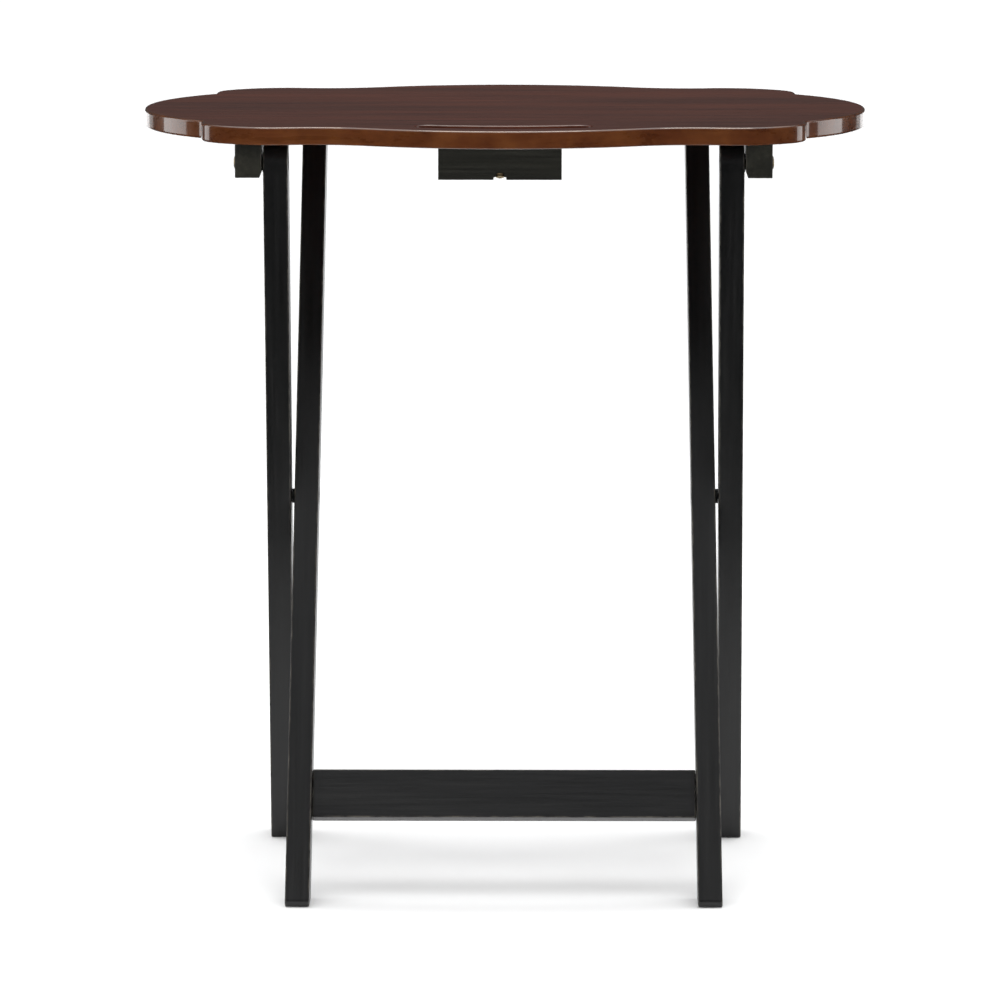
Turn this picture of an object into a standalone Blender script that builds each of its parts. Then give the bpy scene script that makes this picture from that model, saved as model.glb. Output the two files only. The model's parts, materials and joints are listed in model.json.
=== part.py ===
"""Folding tray table: a scalloped board on two crossed pairs of legs.

Metres, +Z up, +X to the right, front at -Y. The origin is on the floor under the board's centre.
The outer legs hang from cleats at the front of the board and have their feet at the rear. The inner
legs cross them, have their feet in front, and carry the back of the board on a crossbar dowel.
"""

import math

import bmesh
import bpy
from mathutils import Vector

# Board
TOP_HEIGHT = 0.660
TOP_WIDTH = 0.610
TOP_DEPTH = 0.406
TOP_THICKNESS = 0.015
TOP_ROUNDING = 0.0022
UNDERSIDE = TOP_HEIGHT - TOP_THICKNESS

# Board outline, one quarter: a wide lobe, a cove, a brow that turns a corner, a nick and a round end
LOBE_RADIUS = 0.272
COVE_RADIUS = 0.115
BROW_X = 0.190
BROW_Y = 0.1725
BROW_RADIUS = 0.075
SIDE_X = 0.2507
CORNER_RADIUS = 0.030
NICK_RADIUS = 0.010
END_RADIUS = 0.1534

# Handle slot, which follows the curve of the front edge
SLOT_CURVE = 0.290
SLOT_INSET = 0.034
SLOT_WIDTH = 0.022
SLOT_HALF_ANGLE = 14.0

# Leg frames
LEAN = math.radians(24.0)
CROSSING = Vector((0.0, 0.010, 0.325))
HINGE_DROP = 0.019
LEG_DEPTH = 0.036
LEG_WIDTH = 0.0205
OUTER_FACE = 0.2031
LEG_GAP = 0.0029
SPLAY = 0.0118
TOE_RADIUS = 0.005
HEEL_RADIUS = 0.002
LEG_ARRIS = 0.0012
HINGE_Z = UNDERSIDE - HINGE_DROP
UPPER_LENGTH = (HINGE_Z - CROSSING.z) / math.cos(LEAN)
REACH = UPPER_LENGTH * math.sin(LEAN)
HINGE = Vector((0.0, CROSSING.y - REACH, HINGE_Z))
CROSSBAR = Vector((0.0, CROSSING.y + REACH, HINGE_Z))
INNER_FACE = OUTER_FACE - LEG_WIDTH - LEG_GAP

# Rails and blocks
STRETCHER_DROP = 0.2624
STRETCHER_HEIGHT = 0.0415
STRETCHER_DEPTH = 0.016
CROSSBAR_RADIUS = 0.008
CROSSBAR_SEAT = 0.012
CLEAT_INNER = 0.2004
CLEAT_WIDTH = 0.0219
CLEAT_HALF_LENGTH = 0.143
CLEAT_HEIGHT = 0.030
CLEAT_CHAMFER = (0.0017, 0.0050)
CLEAT_ARRIS = 0.0006
BLOCK_X = -0.003
BLOCK_WIDTH = 0.102
BLOCK_FRONT = -0.157
BLOCK_DEPTH = 0.021
BLOCK_ARRIS = 0.0006
NOTCH_WIDTH = 0.0105
NOTCH_DEPTH = 0.0022

# Crossbar clips, bent from spring strip
CLIP_X = 0.070
CLIP_WIDTH = 0.018
CLIP_THICKNESS = 0.0015
CLIP_REAR = 0.034
CLIP_LIP = 0.012
CLIP_PLAY = 0.0007
CLIP_SCREW_IN = 0.006
CLIP_SCREW_Y = 0.0245

# Fasteners
GAP = 0.0003
BOLT_RADIUS = 0.003
BOLT_HEAD_RADIUS = 0.007
BOLT_HEAD = 0.0014
HINGE_HEAD_RADIUS = 0.0055
HINGE_HEAD = 0.0016
RECESS_RADIUS = 0.0076
WASHER_RADIUS = 0.008
SPACER_RADIUS = 0.0062
NUT_FLAT = 0.0058
NUT_HEIGHT = 0.0042
NUT_RECESS = 0.0055
HEAD_RECESS = 0.0024
SCREW_RADIUS = 0.0019
SCREW_HEAD_RADIUS = 0.0038
SCREW_HEAD = 0.0024
CLEAT_SCREWS_Y = (-0.085, 0.100)
BLOCK_SCREWS_X = 0.036
SCREW_SINK = 0.014
SCREW_BITE = 0.009
BRASS_SCREW_TILT = math.radians(62.0)

ROUND = 18
ARC_STEP = 0.009

WOOD_RED = ("mahogany_finish", (0.075, 0.028, 0.018), 0.28, 0.0)
WOOD_BLACK = ("black_lacquer", (0.018, 0.018, 0.016), 0.42, 0.0)
STEEL = ("zinc_steel", (0.55, 0.55, 0.54), 0.35, 1.0)
DARK_STEEL = ("black_steel", (0.05, 0.05, 0.052), 0.4, 1.0)
BRASS = ("brass", (0.72, 0.55, 0.28), 0.3, 1.0)
NYLON = ("black_nylon", (0.02, 0.02, 0.02), 0.5, 0.0)


# Scene helpers


def clear_scene():
    for obj in list(bpy.data.objects):
        bpy.data.objects.remove(obj, do_unlink=True)


def finish(look):
    """The look's Principled material, made once."""
    name, colour, roughness, metallic = look
    material = bpy.data.materials.get(name)
    if material:
        return material
    material = bpy.data.materials.new(name)
    material.use_nodes = True
    material.diffuse_color = (*colour, 1.0)
    shader = material.node_tree.nodes["Principled BSDF"]
    shader.inputs["Base Color"].default_value = (*colour, 1.0)
    shader.inputs["Roughness"].default_value = roughness
    shader.inputs["Metallic"].default_value = metallic
    return material


def pivot(name, point):
    """An empty on a joint's axis, which a body's pieces hang from."""
    empty = bpy.data.objects.new(name, None)
    bpy.context.scene.collection.objects.link(empty)
    empty.location = point
    return empty


def add(name, bm, look, parent, place, rotation=(0.0, 0.0, 0.0)):
    """Makes an object of the bmesh, at a world place under its body's empty."""
    bmesh.ops.recalc_face_normals(bm, faces=bm.faces)
    mesh = bpy.data.meshes.new(name)
    bm.to_mesh(mesh)
    bm.free()
    obj = bpy.data.objects.new(name, mesh)
    bpy.context.scene.collection.objects.link(obj)
    obj.parent = parent
    obj.location = Vector(place) - parent.location
    obj.rotation_euler = rotation
    mesh.materials.append(finish(look))
    mesh.shade_smooth()
    mesh.set_sharp_from_angle(angle=math.radians(35))
    return obj


def soften(obj, width, segments=2):
    """Rounds the square edges, and leaves the facets of round stretches alone."""
    bevel = obj.modifiers.new("arris", "BEVEL")
    bevel.width = width
    bevel.segments = segments
    bevel.limit_method = "ANGLE"
    bevel.angle_limit = math.radians(50)
    bevel.use_clamp_overlap = True


def cut(obj, cutter):
    cutter.hide_render = True
    cutter.display_type = "WIRE"
    boolean = obj.modifiers.new(cutter.name, "BOOLEAN")
    boolean.operation = "DIFFERENCE"
    boolean.object = cutter


# Shape helpers


def loft(rings, wrap=False):
    """A closed skin over rings of points. Its ends are capped, or joined when wrap is set."""
    bm = bmesh.new()
    loops = [[bm.verts.new(point) for point in ring] for ring in rings]
    pairs = list(zip(loops, loops[1:]))
    if wrap:
        pairs.append((loops[-1], loops[0]))
    for low, high in pairs:
        for i in range(len(low)):
            j = (i + 1) % len(low)
            bm.faces.new((low[i], low[j], high[j], high[i]))
    if not wrap:
        bm.faces.new(loops[0])
        bm.faces.new(loops[-1])
    return bm


def circle(radius, z, count=ROUND):
    turns = [2 * math.pi * i / count for i in range(count)]
    return [(radius * math.cos(t), radius * math.sin(t), z) for t in turns]


def hexagon(flat, z, count=24):
    """A ring of points on a hexagon, with flat as its distance from centre to side."""
    side = math.pi / 3
    ring = []
    for i in range(count):
        turn = 2 * math.pi * i / count
        reach = flat / math.cos((turn + side / 2) % side - side / 2)
        ring.append((reach * math.cos(turn), reach * math.sin(turn), z))
    return ring


def turned(profile):
    """A solid of revolution about Z, from (radius, z) steps."""
    return loft([circle(radius, z) for radius, z in profile])


def facing(direction):
    """The rotation that carries +Z to the direction."""
    return Vector(direction).to_track_quat("Z", "Y").to_euler()


def rounded(corners, steps=4):
    """A polygon of (x, y, radius) corners with each corner turned into an arc."""
    points = []
    for i, (x, y, radius) in enumerate(corners):
        here = Vector((x, y))
        before = (Vector(corners[i - 1][:2]) - here).normalized()
        after = (Vector(corners[(i + 1) % len(corners)][:2]) - here).normalized()
        if not radius:
            points.append(here)
            continue
        half = before.angle(after) / 2
        centre = here + (before + after).normalized() * radius / math.sin(half)
        first = (here + before * radius / math.tan(half) - centre).normalized()
        last = (here + after * radius / math.tan(half) - centre).normalized()
        count = max(2, round(steps * (math.pi - 2 * half) / (math.pi / 2)))
        for k in range(count + 1):
            points.append(centre + radius * first.slerp(last, k / count))
    return [here for i, here in enumerate(points) if (here - points[i - 1]).length > 1e-5]


def prism(outline, low, high, lean=0.0):
    """Extrudes a (y, z) outline along X, its ends leaning outward by lean for each metre down."""
    rings = [[(x - lean * z, y, z) for y, z in outline] for x in (low, high)]
    return loft(rings)


def box(size):
    x, y, z = (0.5 * value for value in size)
    return prism([(-y, -z), (y, -z), (y, z), (-y, z)], -x, x)


def drill(obj, start, end, radius):
    """Cuts a round hole between two world points."""
    start = Vector(start)
    along = Vector(end) - start
    bm = loft([circle(radius, 0.0), circle(radius, along.length)])
    name = f"{obj.name}_hole_{len(obj.modifiers)}"
    cut(obj, add(name, bm, STEEL, obj.parent, start, facing(along)))


# Board


def arc(centre, radius, start, end, hollow=False):
    """(point, outward normal) along an arc, angles in radians. A hollow arc faces its centre."""
    count = max(3, math.ceil(abs(end - start) * radius / ARC_STEP))
    out = -1.0 if hollow else 1.0
    for k in range(count + 1):
        turn = start + (end - start) * k / count
        ray = Vector((math.cos(turn), math.sin(turn)))
        yield Vector(centre) + radius * ray, out * ray


def touching(a, reach_a, b, reach_b):
    """The point at these distances from a and b, on the left of the way from a to b."""
    apart = b - a
    along = (apart.length**2 + reach_a**2 - reach_b**2) / (2 * apart.length)
    ahead = apart.normalized()
    off = math.sqrt(reach_a**2 - along**2)
    return a + along * ahead + off * Vector((-ahead.y, ahead.x))


def bend(centre, radius, start, end, hollow=False):
    """An arc between two directions from its centre."""
    turns = [math.atan2(ray.y, ray.x) for ray in (start, end)]
    if hollow:
        turns = [turn % (2 * math.pi) for turn in turns]
    return arc(centre, radius, *turns, hollow)


def quarter_outline():
    """The board's edge from the middle of its back to the middle of its right end."""
    lobe = Vector((0.0, TOP_DEPTH / 2 - LOBE_RADIUS))
    brow = Vector((BROW_X, BROW_Y - BROW_RADIUS))
    corner_x = SIDE_X - CORNER_RADIUS
    rise = math.sqrt((BROW_RADIUS - CORNER_RADIUS) ** 2 - (corner_x - brow.x) ** 2)
    corner = Vector((corner_x, brow.y + rise))
    end = Vector((TOP_WIDTH / 2 - END_RADIUS, 0.0))
    cove = touching(lobe, LOBE_RADIUS + COVE_RADIUS, brow, BROW_RADIUS + COVE_RADIUS)
    nick = touching(corner, CORNER_RADIUS + NICK_RADIUS, end, END_RADIUS + NICK_RADIUS)
    yield from bend(lobe, LOBE_RADIUS, Vector((0.0, 1.0)), cove - lobe)
    yield from bend(cove, COVE_RADIUS, lobe - cove, brow - cove, hollow=True)
    yield from bend(brow, BROW_RADIUS, cove - brow, corner - brow)
    yield from bend(corner, CORNER_RADIUS, corner - brow, nick - corner)
    yield from bend(nick, NICK_RADIUS, corner - nick, end - nick, hollow=True)
    yield from bend(end, END_RADIUS, nick - end, Vector((1.0, 0.0)))


def board_outline():
    """(point, normal) pairs all round the board, mirrored from one quarter."""
    quarter = list(quarter_outline())
    half = quarter + [mirrored(pair, 1, -1) for pair in reversed(quarter)]
    whole = half + [mirrored(pair, -1, 1) for pair in reversed(half)]
    kept = []
    for point, normal in whole:
        if not kept or (point - kept[-1][0]).length > 1e-5:
            kept.append((point, normal))
    if (kept[0][0] - kept[-1][0]).length < 1e-5:
        kept.pop()
    return kept


def mirrored(pair, across, along):
    point, normal = pair
    flip = Vector((across, along))
    return point * flip, normal * flip


def slot_outline():
    """The handle slot: a round-ended band on an arc that follows the front edge."""
    centre = Vector((0.0, SLOT_CURVE - TOP_DEPTH / 2))
    middle = SLOT_CURVE - SLOT_INSET
    half = math.radians(SLOT_HALF_ANGLE)
    front = -math.pi / 2
    reach = SLOT_WIDTH / 2
    points = []
    for start, sign in ((front - half, 1), (front + half, -1)):
        radius = middle + sign * reach
        for k in range(13):
            turn = start + sign * 2 * half * k / 12
            points.append(centre + radius * Vector((math.cos(turn), math.sin(turn))))
        tip_turn = start + sign * 2 * half
        tip = centre + middle * Vector((math.cos(tip_turn), math.sin(tip_turn)))
        for k in range(1, 8):
            turn = tip_turn + (0 if sign > 0 else math.pi) + math.pi * k / 8
            points.append(tip + reach * Vector((math.cos(turn), math.sin(turn))))
    return points


def make_board(body):
    outline = board_outline()
    rings = []
    for level, inward in ((0.0, 1), (TOP_THICKNESS, -1)):
        steps = [(k * math.pi / 4) for k in range(3)]
        for turn in steps if inward > 0 else reversed(steps):
            inset = TOP_ROUNDING * (1 - math.sin(turn))
            rise = inward * TOP_ROUNDING * (1 - math.cos(turn))
            ring = [point - normal * inset for point, normal in outline]
            rings.append([(x, y, level + rise) for x, y in ring])
    board = add("tabletop", loft(rings), WOOD_RED, body, (0.0, 0.0, UNDERSIDE))
    below, above = -TOP_THICKNESS, 2 * TOP_THICKNESS
    slot = loft([[(x, y, z) for x, y in slot_outline()] for z in (below, above)])
    cut(board, add("slot_cutter", slot, WOOD_RED, body, (0.0, 0.0, UNDERSIDE)))
    return board


# Legs


def leg_outline(toe_side):
    """A leg's side view about the crossing. toe_side is +1 when the long corner is at +Y."""
    half = LEG_DEPTH / 2
    top = UPPER_LENGTH + half
    foot = [(-CROSSING.z - y * toe_side * math.sin(LEAN)) / math.cos(LEAN) for y in (-half, half)]
    radii = (HEEL_RADIUS, TOE_RADIUS) if toe_side > 0 else (TOE_RADIUS, HEEL_RADIUS)
    corners = [
        (half, foot[1], radii[1]),
        (half, top, half),
        (-half, top, half),
        (-half, foot[0], radii[0]),
    ]
    return rounded(corners, steps=7)


def make_leg(name, side, face, lean, body):
    """A leg whose outer face is at X = face at the crossing, spreading outward towards its foot."""
    outline = leg_outline(1 if lean > 0 else -1)
    bm = prism(outline, face - LEG_WIDTH, face, SPLAY)
    if side < 0:
        for vert in bm.verts:
            vert.co.x = -vert.co.x
    leg = add(name, bm, WOOD_BLACK, body, CROSSING, (lean, 0.0, 0.0))
    soften(leg, LEG_ARRIS)
    return leg


def face_at(face, distance):
    """X of a leg face at a distance below the crossing, measured along the leg."""
    return face + SPLAY * distance


def across(side, point, near, far):
    """The two world points at a height and depth, from X = near to X = far on one side."""
    return [(side * x, point.y, point.z) for x in (near, far)]


# Rails and blocks


def make_cleat(name, side, body):
    """A batten with crisp edges and a chamfer along its inner lower edge."""
    height = CLEAT_HEIGHT - GAP
    half = CLEAT_WIDTH / 2
    wide, tall = CLEAT_CHAMFER
    square = [(-half, 0.0), (half, 0.0), (half, -height)]
    corners = square + [(wide - half, -height), (-half, tall - height)]
    ends = (-CLEAT_HALF_LENGTH, CLEAT_HALF_LENGTH)
    bm = loft([[(side * x, y, z) for x, z in corners] for y in ends])
    place = (side * (CLEAT_INNER + half), 0.0, UNDERSIDE - GAP)
    cleat = add(name, bm, WOOD_BLACK, body, place)
    soften(cleat, CLEAT_ARRIS)
    return cleat


def make_block(body):
    height = CLEAT_HEIGHT - GAP
    middle = BLOCK_FRONT + BLOCK_DEPTH / 2
    place = (BLOCK_X, middle, UNDERSIDE - GAP - height / 2)
    bm = box((BLOCK_WIDTH, BLOCK_DEPTH, height))
    block = add("grip_block", bm, WOOD_BLACK, body, place)
    soften(block, BLOCK_ARRIS)
    notch = box((NOTCH_WIDTH, 2 * BLOCK_DEPTH, 2 * NOTCH_DEPTH))
    foot = (BLOCK_X, middle, UNDERSIDE - CLEAT_HEIGHT)
    cut(block, add("notch_cutter", notch, WOOD_BLACK, body, foot))
    return block


def make_stretcher(body):
    """The lower rail, lying in the plane of the inner legs, with ends cut to their splay."""
    half_y, half_z = STRETCHER_DEPTH / 2, STRETCHER_HEIGHT / 2
    reach = face_at(INNER_FACE - LEG_WIDTH, STRETCHER_DROP) - GAP
    rings = []
    for side in (-1, 1):
        corners = ((-half_y, -half_z), (half_y, -half_z), (half_y, half_z), (-half_y, half_z))
        rings.append([(side * (reach - SPLAY * z), y, z) for y, z in corners])
    drop = Vector((0.0, -math.sin(LEAN), -math.cos(LEAN))) * STRETCHER_DROP
    rail = add("stretcher", loft(rings), WOOD_BLACK, body, CROSSING + drop, (-LEAN, 0.0, 0.0))
    soften(rail, LEG_ARRIS)
    return rail


def make_crossbar(body):
    leg_face = face_at(INNER_FACE - LEG_WIDTH, -UPPER_LENGTH)
    reach = leg_face + CROSSBAR_SEAT - GAP
    chamfer = 0.001
    profile = (
        (CROSSBAR_RADIUS - chamfer, -reach),
        (CROSSBAR_RADIUS, chamfer - reach),
        (CROSSBAR_RADIUS, reach - chamfer),
        (CROSSBAR_RADIUS - chamfer, reach),
    )
    return add("crossbar_dowel", turned(profile), WOOD_BLACK, body, CROSSBAR, facing((1, 0, 0)))


def clip_outline():
    """A clip's side view about the crossbar: flange at the rear, bend, arm below, lip in front."""
    thick = CLIP_THICKNESS
    hug = CROSSBAR_RADIUS + CLIP_PLAY
    top = HINGE_DROP - GAP
    back = hug + thick
    below = -back
    return rounded(
        [
            (CLIP_REAR, top, 0.0),
            (hug, top, 2.5 * thick),
            (hug, -hug, hug),
            (-CLIP_LIP + 0.004, -hug, 4 * thick),
            (-CLIP_LIP, -hug - 0.0015, 0.0),
            (-CLIP_LIP - 0.0005, below - 0.0015, 0.0),
            (-CLIP_LIP + 0.004, below, 3 * thick),
            (back, below, back),
            (back, top - thick, 1.5 * thick),
            (CLIP_REAR, top - thick, 0.0),
        ]
    )


def make_clip(name, side, body):
    bm = prism(clip_outline(), -CLIP_WIDTH / 2, CLIP_WIDTH / 2)
    return add(name, bm, STEEL, body, (side * CLIP_X, CROSSBAR.y, CROSSBAR.z))


# Fasteners


def screw_profile(length, head_radius=SCREW_HEAD_RADIUS, radius=SCREW_RADIUS):
    """A pan-head screw from its crown at 0 to its point, measured along its axis."""
    return (
        (0.45 * head_radius, 0.0),
        (0.85 * head_radius, 0.15 * SCREW_HEAD),
        (head_radius, 0.5 * SCREW_HEAD),
        (head_radius, SCREW_HEAD),
        (radius, SCREW_HEAD + 0.0001),
        (radius, length - 2 * radius),
        (0.3 * radius, length),
    )


def make_screw(name, crown, direction, length, look, body, through, sunk=None):
    """A screw with its crown at a world point. It passes through pieces, its head sunk in one."""
    crown = Vector(crown)
    along = Vector(direction).normalized()
    add(name, turned(screw_profile(length)), look, body, crown, facing(along))
    for piece in through:
        drill(piece, crown, crown + along * (length + GAP), SCREW_RADIUS + GAP)
    if sunk:
        seat = crown + along * (SCREW_HEAD + GAP)
        drill(sunk, crown - along * 0.04, seat, SCREW_HEAD_RADIUS + GAP)


def make_bolt(name, side, point, under, end, head, look, body):
    """A bolt along X with a low domed head, which is given as its radius and its height.
    Its shank runs from X = under, the underside of its head, inward to X = end."""
    radius, height = head
    length = under + height - end
    profile = (
        (0.5 * radius, 0.0),
        (0.88 * radius, 0.35 * height),
        (radius, 0.8 * height),
        (radius, height),
        (BOLT_RADIUS, height + 0.0001),
        (BOLT_RADIUS, length),
    )
    place = (side * (under + height), point.y, point.z)
    return add(name, turned(profile), look, body, place, facing((-side, 0, 0)))


def make_ring(name, side, point, low, high, outer, look, body):
    """A washer or a nut on a bolt. outer gives its rim as a ring of points at a height."""
    hole = BOLT_RADIUS + GAP
    height = high - low
    count = len(outer(0.0))
    rings = [outer(0.0), outer(height), circle(hole, height, count), circle(hole, 0.0, count)]
    place = (side * low, point.y, point.z)
    return add(name, loft(rings, wrap=True), look, body, place, facing((side, 0, 0)))


def washer_rim(radius):
    return lambda z: circle(radius, z)


def nut_rim(z):
    return hexagon(NUT_FLAT, z)


def make_hinge(label, side, outer_leg, cleat, top, outer_body):
    """The bolt that hangs an outer leg from its cleat."""
    leg_out = face_at(OUTER_FACE, -UPPER_LENGTH)
    leg_in = leg_out - LEG_WIDTH
    cleat_out = CLEAT_INNER + CLEAT_WIDTH
    nut_low = leg_in + NUT_RECESS - GAP - NUT_HEIGHT
    head = (HINGE_HEAD_RADIUS, HINGE_HEAD)
    reach = (cleat_out + GAP, nut_low + GAP)
    make_bolt(f"hinge_bolt_{label}", side, HINGE, *reach, head, BRASS, top)
    washer = (leg_out + GAP, CLEAT_INNER - GAP, washer_rim(WASHER_RADIUS), NYLON, outer_body)
    make_ring(f"hinge_washer_{label}", side, HINGE, *washer)
    nut = (nut_low, nut_low + NUT_HEIGHT, nut_rim, STEEL, top)
    make_ring(f"hinge_nut_{label}", side, HINGE, *nut)
    for piece in (outer_leg, cleat):
        drill(piece, *across(side, HINGE, leg_in - 0.01, cleat_out + 0.01), BOLT_RADIUS + GAP)
    drill(outer_leg, *across(side, HINGE, leg_in - 0.01, leg_in + NUT_RECESS), RECESS_RADIUS)


def make_scissor(label, side, outer_leg, inner_leg, body):
    """The pin on which an inner leg turns in its outer leg, its head and nut sunk in the wood."""
    inner_in = INNER_FACE - LEG_WIDTH
    nut_low = inner_in + NUT_RECESS - GAP - NUT_HEIGHT
    head = (BOLT_HEAD_RADIUS, BOLT_HEAD)
    reach = (OUTER_FACE - HEAD_RECESS + GAP, nut_low + GAP)
    make_bolt(f"scissor_bolt_{label}", side, CROSSING, *reach, head, DARK_STEEL, body)
    spacer_high = OUTER_FACE - LEG_WIDTH - GAP
    spacer = (INNER_FACE + GAP, spacer_high, washer_rim(SPACER_RADIUS), NYLON, body)
    make_ring(f"scissor_spacer_{label}", side, CROSSING, *spacer)
    nut = (nut_low, nut_low + NUT_HEIGHT, nut_rim, STEEL, body)
    make_ring(f"scissor_nut_{label}", side, CROSSING, *nut)
    for piece in (outer_leg, inner_leg):
        drill(piece, *across(side, CROSSING, inner_in - 0.01, OUTER_FACE + 0.01), BOLT_RADIUS + GAP)
    sunk_head = across(side, CROSSING, OUTER_FACE - HEAD_RECESS, OUTER_FACE + 0.01)
    drill(outer_leg, *sunk_head, RECESS_RADIUS)
    drill(inner_leg, *across(side, CROSSING, inner_in - 0.01, inner_in + NUT_RECESS), RECESS_RADIUS)


def screw_frame(label, side, inner_leg, stretcher, crossbar, body):
    """Two screws through an inner leg into the stretcher, and one into the crossbar."""
    down = Vector((0.0, -math.sin(LEAN), -math.cos(LEAN)))
    inward = (-side, 0.0, 0.0)
    for where, shift in (("upper", -0.011), ("lower", 0.011)):
        distance = STRETCHER_DROP + shift
        point = CROSSING + down * distance
        crown = (side * (face_at(INNER_FACE, distance) - 0.0006), point.y, point.z)
        name = f"stretcher_screw_{label}_{where}"
        pieces = (inner_leg, stretcher)
        make_screw(name, crown, inward, 0.042, DARK_STEEL, body, pieces, inner_leg)
    crown = (side * (face_at(INNER_FACE, -UPPER_LENGTH) - 0.0006), CROSSBAR.y, CROSSBAR.z)
    name = f"crossbar_screw_{label}"
    make_screw(name, crown, inward, 0.034, DARK_STEEL, body, (inner_leg, crossbar), inner_leg)
    leg_face = face_at(INNER_FACE - LEG_WIDTH, -UPPER_LENGTH)
    seat = across(side, CROSSBAR, leg_face - 0.01, leg_face + CROSSBAR_SEAT)
    drill(inner_leg, *seat, CROSSBAR_RADIUS + GAP)


def screw_board(board, cleats, block, clips, body):
    """The screws that hold the cleats, the grip block and the clips to the board."""
    up = (0.0, 0.0, 1.0)
    sunk = UNDERSIDE - CLEAT_HEIGHT + SCREW_SINK
    length = UNDERSIDE + SCREW_BITE - sunk
    for label, side, cleat in cleats:
        x = side * (CLEAT_INNER + CLEAT_WIDTH / 2)
        for where, y in zip(("front", "rear"), CLEAT_SCREWS_Y):
            name = f"cleat_screw_{label}_{where}"
            make_screw(name, (x, y, sunk), up, length, DARK_STEEL, body, (cleat, board), cleat)
    middle = BLOCK_FRONT + BLOCK_DEPTH / 2
    for label, side in (("left", -1), ("right", 1)):
        crown = (BLOCK_X + side * BLOCK_SCREWS_X, middle, sunk)
        name = f"block_screw_{label}"
        make_screw(name, crown, up, length, DARK_STEEL, body, (block, board), block)
    slope = (0.0, math.cos(BRASS_SCREW_TILT), math.sin(BRASS_SCREW_TILT))
    crown = (BLOCK_X, BLOCK_FRONT + 0.0008, UNDERSIDE - CLEAT_HEIGHT + 0.0018)
    make_screw("block_screw_brass", crown, slope, 0.040, BRASS, body, (block, board), block)
    for label, side, clip in clips:
        for where, shift in (("inner", -CLIP_SCREW_IN), ("outer", CLIP_SCREW_IN)):
            x = side * (CLIP_X + shift)
            z = UNDERSIDE - GAP - CLIP_THICKNESS - GAP - SCREW_HEAD
            crown = (x, CROSSBAR.y + CLIP_SCREW_Y, z)
            name = f"clip_screw_{label}_{where}"
            make_screw(name, crown, up, 0.012, STEEL, body, (clip, board))


def build():
    clear_scene()
    outer_body = pivot("outer_legs", CROSSING)
    top = pivot("top", HINGE)
    inner_body = pivot("inner_frame", CROSSING)
    board = make_board(top)
    block = make_block(top)
    stretcher = make_stretcher(inner_body)
    crossbar = make_crossbar(inner_body)
    cleats = []
    clips = []
    for label, side in (("left", -1), ("right", 1)):
        cleat = make_cleat(f"cleat_{label}", side, top)
        clip = make_clip(f"crossbar_clip_{label}", side, top)
        outer_leg = make_leg(f"outer_leg_{label}", side, OUTER_FACE, LEAN, outer_body)
        inner_leg = make_leg(f"inner_leg_{label}", side, INNER_FACE, -LEAN, inner_body)
        make_hinge(label, side, outer_leg, cleat, top, outer_body)
        make_scissor(label, side, outer_leg, inner_leg, outer_body)
        screw_frame(label, side, inner_leg, stretcher, crossbar, inner_body)
        cleats.append((label, side, cleat))
        clips.append((label, side, clip))
    screw_board(board, cleats, block, clips, top)


build()
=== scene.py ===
"""Folding tray table in mahogany and black-stained wood, drawn over its CAD frame."""

import json
import math

import bmesh
import bpy
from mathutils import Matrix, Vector


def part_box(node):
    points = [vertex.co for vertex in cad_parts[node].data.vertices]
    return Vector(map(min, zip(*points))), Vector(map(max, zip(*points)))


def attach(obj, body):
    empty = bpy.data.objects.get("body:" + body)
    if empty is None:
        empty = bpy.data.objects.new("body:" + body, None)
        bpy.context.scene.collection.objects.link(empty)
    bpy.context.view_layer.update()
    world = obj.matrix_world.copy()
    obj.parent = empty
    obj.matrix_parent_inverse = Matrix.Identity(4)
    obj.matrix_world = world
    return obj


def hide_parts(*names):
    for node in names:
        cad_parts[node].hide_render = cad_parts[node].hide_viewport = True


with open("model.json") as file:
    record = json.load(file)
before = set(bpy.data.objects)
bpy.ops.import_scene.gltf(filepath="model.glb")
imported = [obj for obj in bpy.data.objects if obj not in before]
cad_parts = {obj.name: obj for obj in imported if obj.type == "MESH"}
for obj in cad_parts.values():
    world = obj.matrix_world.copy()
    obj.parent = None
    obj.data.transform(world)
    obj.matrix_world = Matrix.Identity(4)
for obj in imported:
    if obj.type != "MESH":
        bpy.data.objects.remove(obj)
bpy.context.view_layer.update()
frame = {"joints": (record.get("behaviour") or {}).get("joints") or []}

# Sizes in metres, in the frame's coordinates. They are the CAD model's own.
JOINTS = {joint["name"]: Vector(joint["pos_m"]) for joint in frame["joints"]}
CROSSING = JOINTS["leg_scissor"]
HINGE = JOINTS["top_hinge"]
CROSSBAR = Vector((0.0, 2 * CROSSING.y - HINGE.y, HINGE.z))
BOARD_LOW, BOARD_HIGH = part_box("tabletop")
UNDERSIDE = BOARD_LOW.z
TOP_THICKNESS = BOARD_HIGH.z - BOARD_LOW.z
TOP_WIDTH = BOARD_HIGH.x - BOARD_LOW.x
TOP_DEPTH = BOARD_HIGH.y - BOARD_LOW.y
TOP_ROUNDING = 0.0022

LOBE_RADIUS = 0.272
COVE_RADIUS = 0.115
BROW_X = 0.190
BROW_Y = 0.1725
BROW_RADIUS = 0.075
SIDE_X = 0.2507
CORNER_RADIUS = 0.030
NICK_RADIUS = 0.010
END_RADIUS = 0.1534

SLOT_CURVE = 0.290
SLOT_INSET = 0.034
SLOT_WIDTH = 0.022
SLOT_HALF_ANGLE = 14.0
SLOT_ROUNDING = 0.0018

LEAN = math.radians(24.0)
LEG_DEPTH = 0.036
LEG_WIDTH = 0.0205
OUTER_FACE = 0.2031
LEG_GAP = 0.0029
SPLAY = 0.0118
TOE_RADIUS = 0.005
HEEL_RADIUS = 0.002
LEG_ARRIS = 0.0012
UPPER_LENGTH = (HINGE.z - CROSSING.z) / math.cos(LEAN)
INNER_DOWN = Vector((0.0, -math.sin(LEAN), -math.cos(LEAN)))
INNER_FACE = OUTER_FACE - LEG_WIDTH - LEG_GAP

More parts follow.
